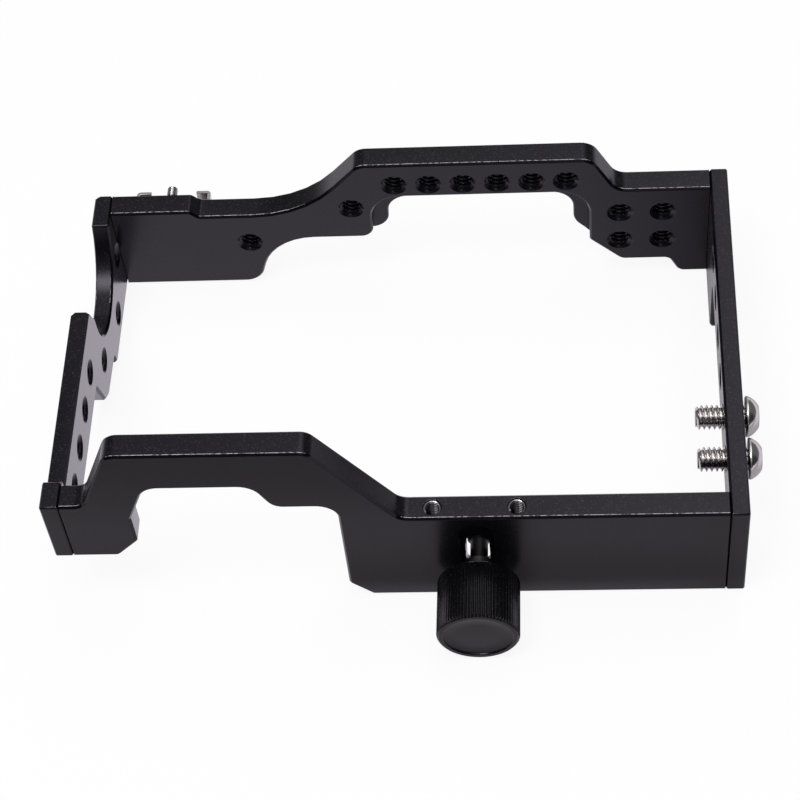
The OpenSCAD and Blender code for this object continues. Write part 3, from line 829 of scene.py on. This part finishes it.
def pale_floor():
    """A level sheet of white paper, a little under the object, that glows to the eye.
    What the object's black faces mirror of it is bright under and behind the object, and
    has painted shade ahead of the bottom plate and to the right, where the cage shades the floor."""
    half, drop = 4.0, 0.0002
    mesh = bpy.data.meshes.new("floor")
    signs = ((-1, -1), (1, -1), (1, 1), (-1, 1))
    corners = [(x * half, y * half, -drop) for x, y in signs]
    mesh.from_pydata(corners, [], [(0, 1, 2, 3)])
    floor = bpy.data.objects.new("floor", mesh)
    bpy.context.scene.collection.objects.link(floor)
    material = bpy.data.materials.new("white_paper")
    material.use_nodes = True
    board = Board(material.node_tree)
    straight, glossy, through = ray_kinds(board, "Camera", "Glossy", "Transmission")
    across, depth = board.parts(board.add("ShaderNodeTexCoord", out=3), 0, 1)
    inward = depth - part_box("bottom_plate")[0].y
    # painted shade on the sheet as the object's faces mirror it: darker just ahead of the bottom
    # plate and to the right of the cage
    ahead = board.ramp(
        0.5 + inward,
        (0.40, 0.90), (0.435, 0.06), (0.465, 0.08), (0.48, 0.40), (0.496, 0.12), (0.502, 1.0),
    )
    right = board.ramp(0.5 + across, (0.53, 1.0), (0.578, 0.27), (0.62, 0.25), (0.67, 0.9))
    lit = board.math("MINIMUM", ahead, right)
    seen, mirrored = 0.88, 0.90              # how much of the sheet is glow, not paper
    white = seen * board.math("MAXIMUM", straight, through) + mirrored * glossy * lit
    tone = board.mix(glossy, PAPER, board.mix(lit, SHADED_PAPER, PAPER))
    paper = board.add("ShaderNodeBsdfDiffuse", None, {"Color": tone})
    shine = board.mix(glossy, WHITE, MIRRORED)
    glow = board.add("ShaderNodeEmission", None, {"Color": shine, "Strength": 1.03})
    both = board.add("ShaderNodeMixShader", None, {0: white, 1: paper, 2: glow})
    board.add("ShaderNodeOutputMaterial", None, {"Surface": both})
    mesh.materials.append(material)


pale_floor()


def studio_world():
    """White all round to the eye. As light it is pale behind the object and overhead,
    dark low down on the side that the front faces look to, and from left to right
    strongest a little beyond the middle."""
    world = bpy.data.worlds.new("studio")
    world.use_nodes = True
    bpy.context.scene.world = world
    board = Board(world.node_tree)
    straight = ray_kinds(board, "Camera")[0]
    across, depth, rise = board.parts(board.add("ShaderNodeTexCoord", out=0), 0, 1, 2)
    behind = board.ramp(rise, (0.60, 0.30), (0.74, 0.40), (0.80, 0.88), (0.87, 1.0))
    before = board.ramp(rise, (0.45, 0.08), (0.80, 0.34), (0.95, 0.68))
    share = board.ramp(0.5 + 0.5 * depth, (0.42, 0.0), (0.55, 1.0))
    sideways = board.ramp(
        0.5 + 0.5 * across,
        (0.36, 0.26), (0.44, 0.37), (0.50, 0.62), (0.54, 1.0), (0.62, 1.0), (0.72, 0.20),
    )
    colour = board.mix(straight, sideways * board.mix(share, before, behind), WHITE)
    brightness = 2.6 - 1.6 * straight        # 1 to the eye
    sky = board.add("ShaderNodeBackground", None, {"Color": colour, "Strength": brightness})
    board.add("ShaderNodeOutputWorld", None, {"Surface": sky})


studio_world()


def soft_box(name, place, target, size, power):
    """A rectangular light at a place, turned to a target. Metres and watts."""
    light = bpy.data.lights.new(name, "AREA")
    light.shape = "RECTANGLE"
    light.size, light.size_y = size
    light.energy = power
    lamp = bpy.data.objects.new(name, light)
    lamp.location = place
    lamp.rotation_mode = "QUATERNION"
    lamp.rotation_quaternion = (Vector(place) - Vector(target)).to_track_quat("Z", "Y")
    bpy.context.scene.collection.objects.link(lamp)


soft_box("top_box", place=(-0.27, -0.32, 1.15), target=(0, 0, 0), size=(0.46, 0.42), power=5.2)


def set_camera():
    """A long lens from the front and above, turned to its axes: right, up and back, as
    measured from the cage's own edges."""
    right = Vector((0.99676, 0.03006, -0.07474))
    up = Vector((0.01934, 0.81138, 0.58424))
    back = right.cross(up)
    data = bpy.data.cameras.new("camera")
    data.lens, data.sensor_width = 104.6, 36.0
    data.clip_start, data.clip_end = 0.01, 20.0
    camera = bpy.data.objects.new("camera", data)
    camera.rotation_mode = "QUATERNION"
    camera.rotation_quaternion = Matrix((right, up, back)).transposed().to_quaternion()
    camera.location = (0.04421, -0.35317, 0.50724)
    bpy.context.scene.collection.objects.link(camera)
    bpy.context.scene.camera = camera


set_camera()
bpy.context.scene.view_settings.view_transform = "Standard"
